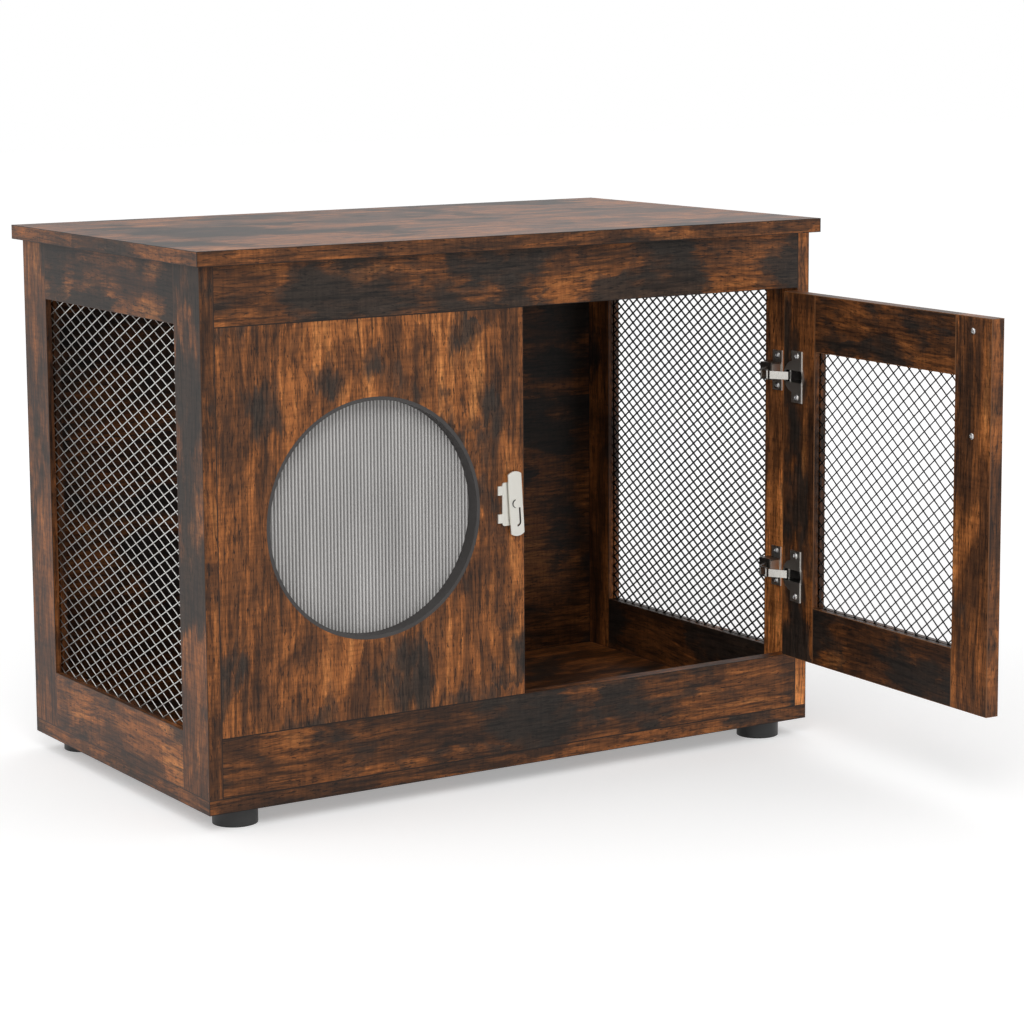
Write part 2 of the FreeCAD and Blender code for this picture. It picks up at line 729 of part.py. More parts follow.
half_base = "LatchBaseHeight/2"
base_left = minus(latch_x, "LatchBaseLeft")
base_right = plus(latch_x, "LatchBaseRight")
latch_plate = block(
    base_left, base_right, latch_base_front, front_face,
    minus(opening_middle, half_base), plus(opening_middle, half_base),
)
latch_ears = []
for sign in "+-":
    ear_middle = plus(opening_middle, sign + "LatchEarOffset")
    latch_ears.append(block(
        minus(base_left, "LatchEarWidth"), base_left, minus(front_face, "LatchEarThickness"), front_face,
        minus(ear_middle, "LatchEarHeight/2"), plus(ear_middle, "LatchEarHeight/2"),
    ))
rounded_plate = doc.addObject("Part::Fillet", "RoundedPlate")
rounded_plate.Base = latch_plate
doc.recompute()
corner = value_of("LatchBaseCorner")
front_to_back = [
    index for index, edge in enumerate(latch_plate.Shape.Edges, start=1)
    if edge.BoundBox.YLength > edge.BoundBox.XLength + edge.BoundBox.ZLength
]
rounded_plate.Edges = [(index, corner, corner) for index in front_to_back]
node("latch_base", cut(fuse([rounded_plate] + latch_ears), [latch_pivot, latch_screws]))

# The turning bar: straight sides, shallow round ends and a hooked slot beside its rivet.
half_bar = "LatchBarLength/2"
half_wide = "LatchBarWidth/2"
end_radius = "((pow(LatchBarWidth/2;2)+pow(LatchEndRise;2))/(2*LatchEndRise))"
bar_blank = block("-" + half_wide, half_wide, "0", "LatchBarThickness", "-" + half_bar, half_bar)
bar_middle = block(
    "-" + half_wide, half_wide, "0", "LatchBarThickness",
    "LatchEndRise-LatchBarLength/2", "LatchBarLength/2-LatchEndRise",
)
bar_ends = [
    rod("0", "0", "%s(LatchBarLength/2-%s)" % (sign, end_radius), "y", end_radius, "LatchBarThickness")
    for sign in ("", "-")
]
bar_plate = common(bar_blank, fuse([bar_middle] + bar_ends))
slot_left = "(LatchSlotAcross-LatchSlotWidth/2)"
slot_right = "(LatchSlotAcross+LatchSlotWidth/2)"
slot_straight = block(
    slot_left, slot_right, "0", "LatchBarThickness", "-LatchSlotBottom", "-LatchSlotTop",
)
hook_blank = block(
    "0", slot_right, "0", "LatchBarThickness", "-LatchSlotBottom-" + slot_right, "-LatchSlotBottom",
)
hook_outer = rod("0", "0", "-LatchSlotBottom", "y", slot_right, "LatchBarThickness")
hook_inner = rod("0", "0", "-LatchSlotBottom", "y", slot_left, "LatchBarThickness")
slot_hook = cut(common(hook_blank, hook_outer), [hook_inner])
pivot_hole = rod("0", "0", "0", "y", "LatchRivetRadius+PinFit", "LatchBarThickness")
latch_bar = cut(bar_plate, [slot_straight, slot_hook, pivot_hole])
latch_bar.Placement.Rotation = FreeCAD.Rotation(FreeCAD.Vector(0, 1, 0), 1)
latch_bar.setExpression("Placement.Rotation.Angle", bound("-LatchBarTilt"))
node("latch_bar", place(latch_bar, latch_x, latch_bar_front, opening_middle))

# ---- fixed front panel and its round window ---------------------------------------------------------

window_screw_list = []
for index in range(int(value_of("WindowScrewCount"))):
    angle = "(360/WindowScrewCount*(%d+0.5))" % index
    window_screw_list.append(screw(
        plus(window_across, "WindowScrewCircle*cos%s" % angle),
        plus(front_back, "GasketThickness+PaneThickness"),
        plus(opening_middle, "WindowScrewCircle*sin%s" % angle),
        "-y", "WindowScrewRadius", "WindowScrewLength", "WindowScrewHeadRadius", "WindowScrewHeadHeight",
    ))
window_screws = group(window_screw_list)

panel_corners = [
    (panel_left, opening_low), (panel_right, opening_low),
    (panel_right, opening_high), (panel_left, opening_high),
]
panel_board = outline_body(
    "PanelBoard", panel_corners, [(window_across, opening_middle, "WindowRadius")], "BoardThickness",
)
place(panel_board, "0", front_face, "0")
panel_tools = [group(panel_dowel_holes), window_screws, latch_pivot, latch_screws]
node("fixed_front_panel", cut(panel_board, panel_tools))

# The gasket lines the hole from the front and turns out behind the panel, under the pane.
gasket_disc = rod(window_across, front_back, opening_middle, "y", "PaneRadius", "GasketThickness")
gasket_sleeve = rod(
    window_across, front_face, opening_middle, "y", "WindowRadius-GasketFit", "BoardThickness",
)
gasket_hole = rod(
    window_across, front_face, opening_middle, "y", "GasketInnerRadius", "BoardThickness+GasketThickness",
)
node("window_gasket", cut(fuse([gasket_disc, gasket_sleeve]), [gasket_hole, window_screws]))
pane_disc = rod(
    window_across, plus(front_back, "GasketThickness"), opening_middle, "y", "PaneRadius", "PaneThickness",
)
node("window_pane", cut(pane_disc, [window_screws]))

# ---- concealed hinges --------------------------------------------------------------------------------

inner_face = front_back
flange_top = plus(inner_face, "FlangeThickness")
cup_screw_x = minus(cup_middle, "CupScrewOffset")
cup_bores = []
cup_screw_list = []
cup_pin_list = []
arm_pin_list = []
arm_screw_list = []
arm_knee = (arm_pin_x, "(ArmElbowBack-BodyDepth/2)")
neck_end = (minus(side_inner, "ArmNeckEndAcross"), "(ArmNeckEndBack-BodyDepth/2)")
first_knee = (minus(side_inner, "LinkFirstKneeAcross"), "(LinkFirstKneeBack-BodyDepth/2)")
second_knee = (minus(side_inner, "LinkSecondKneeAcross"), "(LinkSecondKneeBack-BodyDepth/2)")

for place_name, height in hinge_heights.items():
    # cup, sunk in the door
    floor = plus(front_face, "CupBoreFloor")
    cup_depth = "BoardThickness-CupBoreFloor"
    cup_bores.append(rod(cup_middle, floor, height, "y", "CupRadius", cup_depth))
    shell = rod(cup_middle, floor, height, "y", "CupRadius", cup_depth)
    rim = rod(cup_middle, inner_face, height, "y", "FlangeRimRadius", "FlangeThickness")
    flange = block(
        minus(cup_middle, "FlangeFromEdge"), plus(cup_middle, "FlangeToEdge"), inner_face, flange_top,
        minus(height, "FlangeHeight/2"), plus(height, "FlangeHeight/2"),
    )
    round_hollow = rod(
        cup_middle, plus(floor, "CupWall"), height, "y", "CupRadius-CupWall",
        "BoardThickness-CupBoreFloor-CupWall+FlangeThickness",
    )
    mouth = block(
        minus(cup_middle, "CupRadius"), plus(cup_middle, "CupRadius"), floor, flange_top,
        minus(height, "CupMouthHalf"), plus(height, "CupMouthHalf"),
    )
    hollow = common(round_hollow, mouth)
    cup_pin = rod(cup_pin_x, cup_pin_y, minus(height, "CupPinReach"), "z", "PinRadius", "2*CupPinReach")
    cup_screws = [
        screw(cup_screw_x, flange_top, plus(height, sign + "CupScrewSpacing/2"), "-y",
              "CupScrewRadius", "CupScrewLength", "CupScrewHeadRadius", "CupScrewHeadHeight")
        for sign in "+-"
    ]
    cup = cut(fuse([shell, rim, flange]), [hollow, cup_pin, group(cup_screws)])
    node(place_name + "_hinge_cup", cup, door_swing)
    cup_pin_list.append(cup_pin)
    cup_screw_list += cup_screws

    # link between the two pins
    link_low = minus(height, "LinkWidth/2")
    link_high = plus(height, "LinkWidth/2")
    half_plate = "LinkPlateThickness/2"
    arm_eye = (arm_pin_x, arm_pin_y)
    cup_eye = (cup_pin_x, cup_pin_y)
    link_parts = [rod(*eye, link_low, "z", "LinkEyeRadius", "LinkWidth") for eye in (arm_eye, cup_eye)]
    link_parts += [rod(*knee, link_low, "z", half_plate, "LinkWidth") for knee in (first_knee, second_knee)]
    for start, end in ((arm_eye, first_knee), (first_knee, second_knee), (second_knee, cup_eye)):
        link_parts.append(strip(start, end, half_plate, link_low, link_high))
    pin_holes = [rod(*eye, link_low, "z", "PinRadius+PinFit", "LinkWidth") for eye in (arm_eye, cup_eye)]
    node(place_name + "_hinge_link", cut(fuse(link_parts), pin_holes), link_swing)

    # arm, whose neck reaches from the plate into the cup
    arm_pin = rod(
        arm_pin_x, arm_pin_y, minus(height, "ArmCheekOuter"), "z", "PinRadius", "2*ArmCheekOuter",
    )
    arm_pin_list.append(arm_pin)
    arm_parts = []
    for low, high in (("-ArmCheekOuter", "-ArmCheekInner"), ("ArmCheekInner", "ArmCheekOuter")):
        cheek_low, cheek_high = plus(height, low), plus(height, high)
        cheek_depth = "ArmCheekOuter-ArmCheekInner"
        arm_parts.append(rod(arm_pin_x, arm_pin_y, cheek_low, "z", "LinkEyeRadius", cheek_depth))
        arm_parts.append(strip(arm_eye, arm_knee, "ArmNeckHalf", cheek_low, cheek_high))
    neck_low, neck_high = minus(height, "ArmCheekOuter"), plus(height, "ArmCheekOuter")
    arm_parts.append(rod(*arm_knee, neck_low, "z", "ArmNeckHalf", "2*ArmCheekOuter"))
    arm_parts.append(strip(arm_knee, neck_end, "ArmNeckHalf", neck_low, neck_high))
    arm_top = minus(side_inner, "ArmBodyTop")
    channel_front, channel_back = "(ArmBodyFront-BodyDepth/2)", "(ArmBodyBack-BodyDepth/2)"
    channel = block(
        arm_top, minus(side_inner, "PlateThickness"), channel_front, channel_back,
        minus(height, "ArmBodyWidth/2"), plus(height, "ArmBodyWidth/2"),
    )
    channel_hollow = block(
        plus(arm_top, "ArmWall"), minus(side_inner, "PlateThickness"), channel_front, channel_back,
        minus(height, "ArmBodyWidth/2-ArmWall"), plus(height, "ArmBodyWidth/2-ArmWall"),
    )
    arm_screw = screw(
        arm_top, "(ArmScrewBack-BodyDepth/2)", height, "x",
        "ArmScrewRadius", "ArmScrewLength", "ArmScrewHeadRadius", "ArmScrewHeadHeight",
    )
    arm_screw_list.append(arm_screw)
    arm_parts.append(cut(channel, [channel_hollow]))
    node(place_name + "_hinge_arm", cut(fuse(arm_parts), [arm_pin, arm_screw]))

    # mounting plate, its block inside the arm's channel
    wings = block(
        minus(side_inner, "PlateThickness"), side_inner,
        "(PlateWingFront-BodyDepth/2)", "(PlateWingBack-BodyDepth/2)",
        minus(height, "PlateHeight/2"), plus(height, "PlateHeight/2"),
    )
    rise = block(
        plus(arm_top, "ArmWall"), minus(side_inner, "PlateThickness"), channel_front, channel_back,
        minus(height, "PlateBlockWidth/2"), plus(height, "PlateBlockWidth/2"),
    )
    foot_strip = block(
        minus(side_inner, "PlateThickness"), side_inner, channel_front, channel_back,
        minus(height, "PlateBlockWidth/2"), plus(height, "PlateBlockWidth/2"),
    )
    node(place_name + "_hinge_plate", cut(fuse([wings, rise, foot_strip]), [plate_screws, arm_screw]))

cup_screw_group = group(cup_screw_list)

# ---- door --------------------------------------------------------------------------------------------

pull_screw_x = plus(door_left, "PullScrewEdge")
pull_heights = [minus(door_high, "PullScrewTop"), minus(door_high, "PullScrewTop+PullScrewSpacing")]
pull_screws = group([
    screw(pull_screw_x, inner_face, height, "-y", "PullScrewRadius", "BoardThickness+PullScrewGrip",
          "PullScrewHeadRadius", "PullScrewHeadHeight")
    for height in pull_heights
])
door_holes = group(door_dowel_holes)
door_mesh_low = plus(door_low, "DoorRailHeight-MeshGrooveDepth")
door_mesh_high = minus(door_high, "DoorRailHeight-MeshGrooveDepth")
groove_front, groove_back = minus(front_middle, groove_half), plus(front_middle, groove_half)

latch_stile = block(door_left, door_rail_left, front_face, front_back, door_low, door_high)
latch_groove = block(
    minus(door_rail_left, "MeshGrooveDepth"), door_rail_left, groove_front, groove_back,
    door_mesh_low, door_mesh_high,
)
node("door_latch_stile", cut(latch_stile, [door_holes, latch_groove, pull_screws]), door_swing)
hinge_stile = block(door_rail_right, door_right, front_face, front_back, door_low, door_high)
hinge_groove = block(
    door_rail_right, plus(door_rail_right, "MeshGrooveDepth"), groove_front, groove_back,
    door_mesh_low, door_mesh_high,
)
hinge_stile_tools = [door_holes, hinge_groove, group(cup_bores), cup_screw_group]
node("door_hinge_stile", cut(hinge_stile, hinge_stile_tools), door_swing)
door_opening_low = plus(door_low, "DoorRailHeight")
door_opening_high = minus(door_high, "DoorRailHeight")
top_piece = block(door_rail_left, door_rail_right, front_face, front_back, door_opening_high, door_high)
top_groove = block(
    door_rail_left, door_rail_right, groove_front, groove_back, door_opening_high, door_mesh_high,
)
node("door_top_rail", cut(top_piece, [door_holes, top_groove]), door_swing)
bottom_piece = block(door_rail_left, door_rail_right, front_face, front_back, door_low, door_opening_low)
bottom_groove = block(
    door_rail_left, door_rail_right, groove_front, groove_back, door_mesh_low, door_opening_low,
)
node("door_bottom_rail", cut(bottom_piece, [door_holes, bottom_groove]), door_swing)

door_net = net(minus(door_rail_right, door_rail_left), minus(door_opening_high, door_opening_low))
door_mesh = mesh_sheet(door_net, FreeCAD.Rotation(FreeCAD.Vector(0, 0, 1), 90))
place(door_mesh, "(%s+%s)/2" % (door_rail_left, door_rail_right), front_middle, opening_middle)
node("door_mesh", group([door_mesh]), door_swing)

half_pull = "PullBarWidth/2"
pull_front = minus(front_face, "PullStandOff")
pull_bar = block(
    minus(pull_screw_x, half_pull), plus(pull_screw_x, half_pull),
    pull_front, plus(pull_front, "PullBarThickness"),
    minus(pull_heights[1], "PullBarWidth"), plus(pull_heights[0], "PullBarWidth"),
)
pull_posts = [
    rod(pull_screw_x, front_face, height, "-y", "PullPostRadius", "PullStandOff-PullBarThickness/2")
    for height in pull_heights
]
node("door_pull", cut(fuse([pull_bar] + pull_posts), [pull_screws]), door_swing)
node("door_pull_screws", group([pull_screws]), door_swing)
node("door_frame_dowels", group([door_dowels]), door_swing)
node("hinge_cup_screws", group([cup_screw_group]), door_swing)
node("hinge_cup_pins", group(cup_pin_list), door_swing)

# ---- fasteners of the cabinet ---------------------------------------------------------------------------

node("hinge_arm_pins", group(arm_pin_list))
node("hinge_arm_screws", group(arm_screw_list))
node("hinge_plate_screws", plate_screws)
node("latch_pivot", latch_pivot)
node("latch_screws", latch_screws)
node("window_screws", window_screws)
node("foot_studs", foot_studs)
node("base_screws", base_screws)
node("side_frame_dowels", side_dowels)
node("front_rail_dowels", front_dowels)
node("front_panel_dowels", panel_dowels)
node("back_panel_dowels", back_dowels)
node("top_cam_locks", top_cam_locks)
node("top_cam_bolts", top_cam_bolts)

# ---- check and export ------------------------------------------------------------------------------------

doc.recompute()
for thing in doc.Objects:
    if "Invalid" in thing.State or "Error" in thing.State:
        raise RuntimeError("%s is in error" % thing.Label)
labels = [piece.Label for piece in nodes]
if len(set(labels)) != len(labels):
    raise RuntimeError("two pieces share a name")

os.makedirs("parts", exist_ok=True)
for piece in nodes:
    shape = piece.Shape
    if shape.isNull() or not shape.isValid():
        raise RuntimeError("%s has no valid shape" % piece.Label)
    shape.exportStep(os.path.join("parts", piece.Label + ".step"))
    print(piece.Label, len(shape.Solids), "solids", round(shape.Volume), "mm3")
print(len(nodes), "nodes")
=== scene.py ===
import bpy
import math
import numpy as np
from mathutils import Matrix, Vector


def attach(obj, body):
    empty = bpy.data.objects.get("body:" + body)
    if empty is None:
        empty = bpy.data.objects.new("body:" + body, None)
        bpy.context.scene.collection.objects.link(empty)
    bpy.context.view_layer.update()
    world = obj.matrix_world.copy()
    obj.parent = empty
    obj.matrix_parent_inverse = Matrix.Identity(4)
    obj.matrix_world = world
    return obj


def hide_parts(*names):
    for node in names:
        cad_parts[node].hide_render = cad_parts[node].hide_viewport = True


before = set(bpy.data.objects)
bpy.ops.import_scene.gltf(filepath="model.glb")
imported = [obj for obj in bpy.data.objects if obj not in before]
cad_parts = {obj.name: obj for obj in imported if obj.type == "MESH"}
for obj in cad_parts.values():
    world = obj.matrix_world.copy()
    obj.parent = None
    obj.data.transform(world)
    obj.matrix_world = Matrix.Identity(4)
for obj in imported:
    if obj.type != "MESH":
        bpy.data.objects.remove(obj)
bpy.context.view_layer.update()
print("frame loaded,", len(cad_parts), "nodes")

# the door is stored open: this turns its points back to where they lie when it is shut
doorTurn = {"opened": 88.0, "shutPin": (0.3671, -0.2135), "openPin": (0.357118872, -0.237541245)}


def turnDoor(points, degrees, pin, newPin):
    # each point less the pin, turned about the vertical, plus the new pin
    angle = math.radians(degrees)
    x = points[:, 0] - pin[0]
    y = points[:, 1] - pin[1]
    turned = points.copy()
    turned[:, 0] = math.cos(angle) * x - math.sin(angle) * y + newPin[0]
    turned[:, 1] = math.sin(angle) * x + math.cos(angle) * y + newPin[1]
    return turned


def shutDoor(points):
    return turnDoor(points, -doorTurn["opened"], doorTurn["openPin"], doorTurn["shutPin"])


def openDoor(points):
    return turnDoor(points, doorTurn["opened"], doorTurn["shutPin"], doorTurn["openPin"])


def nodePoints(name):
    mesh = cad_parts[name].data
    points = np.empty(len(mesh.vertices) * 3)
    mesh.vertices.foreach_get("co", points)
    return points.reshape(-1, 3)


def shutPoints(name):
    # where the node's points lie when the door is shut
    return shutDoor(nodePoints(name)) if name.startswith("door") else nodePoints(name)


# shader writing

class Signal:
    # an output socket: sums and products of signals and numbers add their Math nodes
    def __init__(self, paint, socket):
        self.paint, self.socket = paint, socket

    def __add__(self, other):
        return self.paint.maths("ADD", self, other)

    def __sub__(self, other):
        return self.paint.maths("SUBTRACT", self, other)

    def __rsub__(self, other):
        return self.paint.maths("SUBTRACT", other, self)

    def __mul__(self, other):
        return self.paint.maths("MULTIPLY", self, other)

    def __truediv__(self, other):
        return self.paint.maths("DIVIDE", self, other)

    __radd__ = __add__
    __rmul__ = __mul__

    def __abs__(self):
        return self.paint.maths("ABSOLUTE", self)

    def __gt__(self, other):
        return self.paint.maths("GREATER_THAN", self, other)

    def __lt__(self, other):
        return self.paint.maths("LESS_THAN", self, other)

    def least(self, other):
        return self.paint.maths("MINIMUM", self, other)

    def most(self, other):
        return self.paint.maths("MAXIMUM", self, other)

    def near(self, value, reach):
        return self.paint.maths("COMPARE", self, value, reach)

    def outputs(self):
        return [Signal(self.paint, socket) for socket in self.socket.node.outputs]


class Paint:
    # one material, or the world, under construction
    def __init__(self, name, kind="materials"):
        self.owner = getattr(bpy.data, kind).new(name)
        self.owner.use_nodes = True
        self.tree = self.owner.node_tree

    def add(self, kind, settings=None, sockets=None, output=0):
        node = self.tree.nodes.new(kind)
        for key, value in (settings or {}).items():
            if key == "stops":
                self.stops(node.color_ramp, value)
            else:
                setattr(node, key, value)
        for key, value in (sockets or {}).items():
            self.feed(node.inputs[key], value)
        return Signal(self, node.outputs[output])

    def feed(self, socket, value):
        if isinstance(value, Signal):
            self.tree.links.new(value.socket, socket)
        else:
            socket.default_value = value

    def stops(self, ramp, stops):
        while len(ramp.elements) < len(stops):
            ramp.elements.new(0.5)
        for element, (place, tone) in zip(ramp.elements, stops):
            element.position = place
            element.color = (*tone, 1) if isinstance(tone, tuple) else (tone, tone, tone, 1)

    def maths(self, operation, *values):
        return self.add("ShaderNodeMath", {"operation": operation}, dict(enumerate(values)))

    def length(self, vector):
        return self.add("ShaderNodeVectorMath", {"operation": "LENGTH"}, {0: vector}, 1)

    def noise(self, vector, scale=1.0, detail=2.0, rough=0.5, warp=0.0):
        sockets = {"Vector": vector, "Scale": scale, "Detail": detail, "Roughness": rough, "Distortion": warp}
        return self.add("ShaderNodeTexNoise", {"noise_dimensions": "3D"}, sockets)

    def ramp(self, value, stops):
        return self.add("ShaderNodeValToRGB", {"stops": stops}, {"Fac": value})

    def mix(self, factor, first, second, blend="MIX"):
        settings = {"data_type": "RGBA", "blend_type": blend}
        return self.add("ShaderNodeMix", settings, {0: factor, 6: first, 7: second}, 2)

    def joined(self, x, y, z):
        return self.add("ShaderNodeCombineXYZ", {}, {"X": x, "Y": y, "Z": z})

    def split(self, vector):
        return self.add("ShaderNodeSeparateXYZ", {}, {0: vector}).outputs()

    def brushed(self, spot, scale, drawn):
        # fine lines drawn out upwards
        x, y, z = self.split(spot)
        return self.noise(self.joined(x * scale, y * scale, z * drawn), 1.0, 3.0, 0.6)

    def seen(self):
        # 1 for camera, glossy and transmission rays, which see the studio as white
        rays = {ray.socket.name: ray for ray in self.add("ShaderNodeLightPath").outputs()}
        return rays["Is Camera Ray"].most(rays["Is Glossy Ray"]).most(rays["Is Transmission Ray"])

    def place(self, onDoor=False):
        # object coordinates, turned back to the shut door for what rides on it
        spot = self.add("ShaderNodeTexCoord", {}, {}, "Object")
        if not onDoor:
            return spot
        angle = -math.radians(doorTurn["opened"])
        x, y = doorTurn["openPin"]
        shift = (doorTurn["shutPin"][0] - math.cos(angle) * x + math.sin(angle) * y,
                 doorTurn["shutPin"][1] - math.sin(angle) * x - math.cos(angle) * y, 0)
        return self.add("ShaderNodeMapping", {"vector_type": "POINT"},
                        {"Vector": spot, "Location": shift, "Rotation": (0, 0, angle)})

    def bump(self, height, depth, strength=1.0):
        return self.add("ShaderNodeBump", {}, {"Height": height, "Distance": depth, "Strength": strength})

    def finish(self, **sockets):
        shader = self.tree.nodes["Principled BSDF"]
        for key, value in sockets.items():
            self.feed(shader.inputs[key.replace("_", " ")], value)
        return self.owner


def colour(red, green, blue):
    # screen values 0-255 made linear
    parts = [part / 255 for part in (red, green, blue)]
    return tuple(part / 12.92 if part <= 0.04045 else ((part + 0.055) / 1.055) ** 2.4 for part in parts)


# rustic boards

boardLook = {
    "charcoal": colour(45, 39, 34), "stain": colour(56, 35, 22),
    "tones": [(0.37, colour(62, 38, 22)), (0.47, colour(108, 65, 34)), (0.56, colour(154, 92, 46)),
              (0.67, colour(190, 122, 66))],
    "stained": [(0.50, 0.0), (0.62, 0.66)],
    "roughness": 0.42, "shine": 0.27,
    "grainWander": 0.03, "tornEdge": 0.035, "cell": (6.5, 15.0),
    "plainEdge": 0.09, "edgeLine": 0.0009,
    "seam": colour(24, 16, 11), "sideSeam": colour(62, 42, 30), "frameSeam": colour(122, 82, 52),
}

# noise: scale along and across the grain, detail, roughness, distortion
boardNoise = {
    "wander": (3.0, 8.0, 2.0, 0.5, 0.0),
    "ragged": (26.0, 230.0, 2.0, 0.6, 0.0),
    "tone": (6.0, 24.0, 4.0, 0.6, 0.4),
    "streak": (9.0, 130.0, 4.0, 0.65, 0.0),
    "stain": (11.0, 17.0, 5.0, 0.6, 0.5),
    "patch": (7.0, 10.5, 4.0, 0.52, 0.3),
    "smudge": (34.0, 46.0, 4.0, 0.62, 0.3),
    "fibre": (40.0, 380.0, 3.0, 0.7, 0.0),
    "thread": (9.0, 260.0, 2.0, 0.6, 0.0),
    "saw": (260.0, 30.0, 2.0, 0.6, 0.0),
    "fleck": (110.0, 520.0, 2.0, 0.6, 0.0),
}

# fine marks, laid over the tone in this order: strength and ramp
boardMarks = {
    "fibre": (0.85, [(0.38, 0.24), (0.46, 0.84), (0.60, 1.0), (0.70, 1.45)]),
    "thread": (0.75, [(0.38, 0.36), (0.47, 1.0), (0.60, 1.0), (0.68, 1.35)]),
    "saw": (0.4, [(0.38, 0.5), (0.5, 1.0), (0.64, 1.25)]),
    "fleck": (0.9, [(0.33, 0.12), (0.385, 1.0), (0.62, 1.0), (0.68, 1.5)]),
}

# node: (grain axis, pattern offset, share of charcoal, lightness); lightness is partly each board's own tone and
# partly painted shade, the back panels' 0.45 being painted shade inside the cabinet
boards = {
    "top_board": ("x", 3.1, 0.40, 0.95),
    "base_board": ("x", 17.4, 0.42, 0.95),
    "left_front_stile": ("z", 5.3, 0.44, 0.88),
    "left_back_stile": ("z", 8.2, 0.32, 0.80),
    "left_top_rail": ("y", 2.2, 0.62, 0.66),
    "left_bottom_rail": ("y", 9.9, 0.30, 1.0),
    "right_front_stile": ("z", 12.7, 0.16, 2.0),
    "right_back_stile": ("z", 14.1, 0.42, 0.8),
    "right_top_rail": ("y", 21.3, 0.42, 0.85),
    "right_bottom_rail": ("y", 23.8, 0.5, 0.8),
    # the back panels' low lightness is painted shade inside the cabinet
    "back_panel_lower": ("x", 31.9, 0.5, 0.45),
    "back_panel_upper": ("x", 36.6, 0.5, 0.45),
    "front_top_rail": ("x", 41.2, 0.54, 1.0),
    "front_bottom_rail": ("x", 47.5, 0.46, 0.84),
    "fixed_front_panel": ("z", 52.8, 0.36, 1.18),
    "door_latch_stile": ("z", 61.4, 0.26, 1.06),
    "door_hinge_stile": ("z", 66.9, 0.42, 0.82),
    "door_top_rail": ("x", 71.5, 0.56, 0.62),
    "door_bottom_rail": ("x", 77.7, 0.58, 0.55),
}


def boardFinish(name, grain, offset, dark, light):
    look = boardLook
    onDoor = name.startswith("door")
    paint = Paint("wood_" + name)
    points = shutPoints(name)
    low, high = points.min(0), points.max(0)
    axes = paint.split(paint.place(onDoor))
    facing = paint.split(paint.add("ShaderNodeTexCoord", {}, {}, "Normal"))
    if onDoor:
        angle = math.radians(doorTurn["opened"])
        facing = [facing[0] * math.cos(angle) + facing[1] * math.sin(angle),
                  facing[1] * math.cos(angle) - facing[0] * math.sin(angle), facing[2]]
    facing = [part * part for part in facing]
    lengthwise = "xyz".index(grain)
    sideways = [index for index in range(3) if index != lengthwise]
    broad, thin = sorted(sideways, key=lambda index: low[index] - high[index])
    # on an end face the grain runs along the board's other long side; narrow faces carry a plain strip
    ends = facing[lengthwise] > 0.5
    narrow = facing[thin] < 0.5
    along = axes[lengthwise] + ends * (axes[broad] - axes[lengthwise]) + offset
    across = [axes[broad] + ends * (axes[lengthwise] - axes[broad]) + offset * 0.37, axes[thin] + offset * 0.37]

    def stretched(scaleAlong, scaleAcross):
        return paint.joined(along * scaleAlong, across[0] * scaleAcross, across[1] * scaleAcross)

    def drawn(kind):
        scaleAlong, scaleAcross, detail, rough, warp = boardNoise[kind]
        return paint.noise(stretched(scaleAlong, scaleAcross), 1.0, detail, rough, warp)

    # broad tone, stain and dark fibres, each noise drawn out along the grain
    wander, ragged = drawn("wander") - 0.5, drawn("ragged") - 0.5
    across = [part + wander * look["grainWander"] for part in across]
    tone, streak, stain = drawn("tone"), drawn("streak"), drawn("stain")
    marks = {kind: drawn(kind) for kind in boardMarks}

    # charcoal patches have torn ends; box-shaped cells shift them and the tone, so that some end in a straight edge
    along = along + ragged * look["tornEdge"]
    patch, smudge = drawn("patch"), drawn("smudge")
    cell = paint.add("ShaderNodeTexVoronoi", {"feature": "F1", "distance": "CHEBYCHEV"},
                     {"Vector": stretched(*look["cell"]), "Scale": 1.0}, "Color")
    shift = paint.split(cell)[0] - 0.5

    warm = tone * 0.5 + streak * 0.45 + shift * 0.10 + 0.035 - narrow * 0.03
    base = paint.mix(paint.ramp(stain, look["stained"]), paint.ramp(warm, look["tones"]), (*look["stain"], 1))
    edge = 0.645 - dark * 0.24
    cover = patch * 0.80 + smudge * 0.20 + shift * 0.10 - narrow * look["plainEdge"]
    depth = paint.ramp(cover, [(edge - 0.03, 0.0), (edge + 0.008, 0.66), (edge + 0.05, 0.95)])
    base = paint.mix(depth, base, (*look["charcoal"], 1))
    for kind, (strength, stops) in boardMarks.items():
        base = paint.mix(strength, base, paint.ramp(marks[kind], stops), "MULTIPLY")
    # lightness: each board's own tone, with painted shade on the back panels
    base = paint.mix(1.0, base, (light, light, light, 1), "MULTIPLY")

    # the two nearest faces of the board say how near a point is to one of its edges
    near = [(axis - float(start)).least(float(end) - axis) for axis, start, end in zip(axes, low, high)]
    second = near[0].least(near[1]).most(near[0].most(near[1]).least(near[2]))
    rim = paint.ramp(second / look["edgeLine"], [(0.45, 0.0), (1.0, 1.0)])
    seam = "frameSeam" if onDoor else "sideSeam" if name.startswith(("left", "right")) else "seam"
    base = paint.mix(rim, (*look[seam], 1), base)
    rough = look["roughness"] + marks["fibre"] * 0.14 + depth * 0.04
    normal = paint.bump(marks["fibre"] * 0.6 + marks["thread"] * 0.4, 0.00025, 0.55)
    return paint.finish(Base_Color=base, Roughness=rough, Normal=normal, Specular_IOR_Level=look["shine"])


def dress(name, material):
    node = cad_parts[name]
    node.data.materials.clear()
    node.data.materials.append(material)


for name, (grain, offset, dark, light) in boards.items():
    dress(name, boardFinish(name, grain, offset, dark, light))
print("boards dressed:", len(boards))


# metal, plastic and beech

fittingLook = {"brushing": 0.16, "brushDepth": 0.00003, "brushStrength": 0.4, "drawnOut": 0.12,
               "cloudScale": 60.0, "dustScale": 25.0, "dust": colour(120, 118, 115),
               "beech": [(0.3, colour(176, 140, 96)), (0.7, colour(214, 182, 136))]}


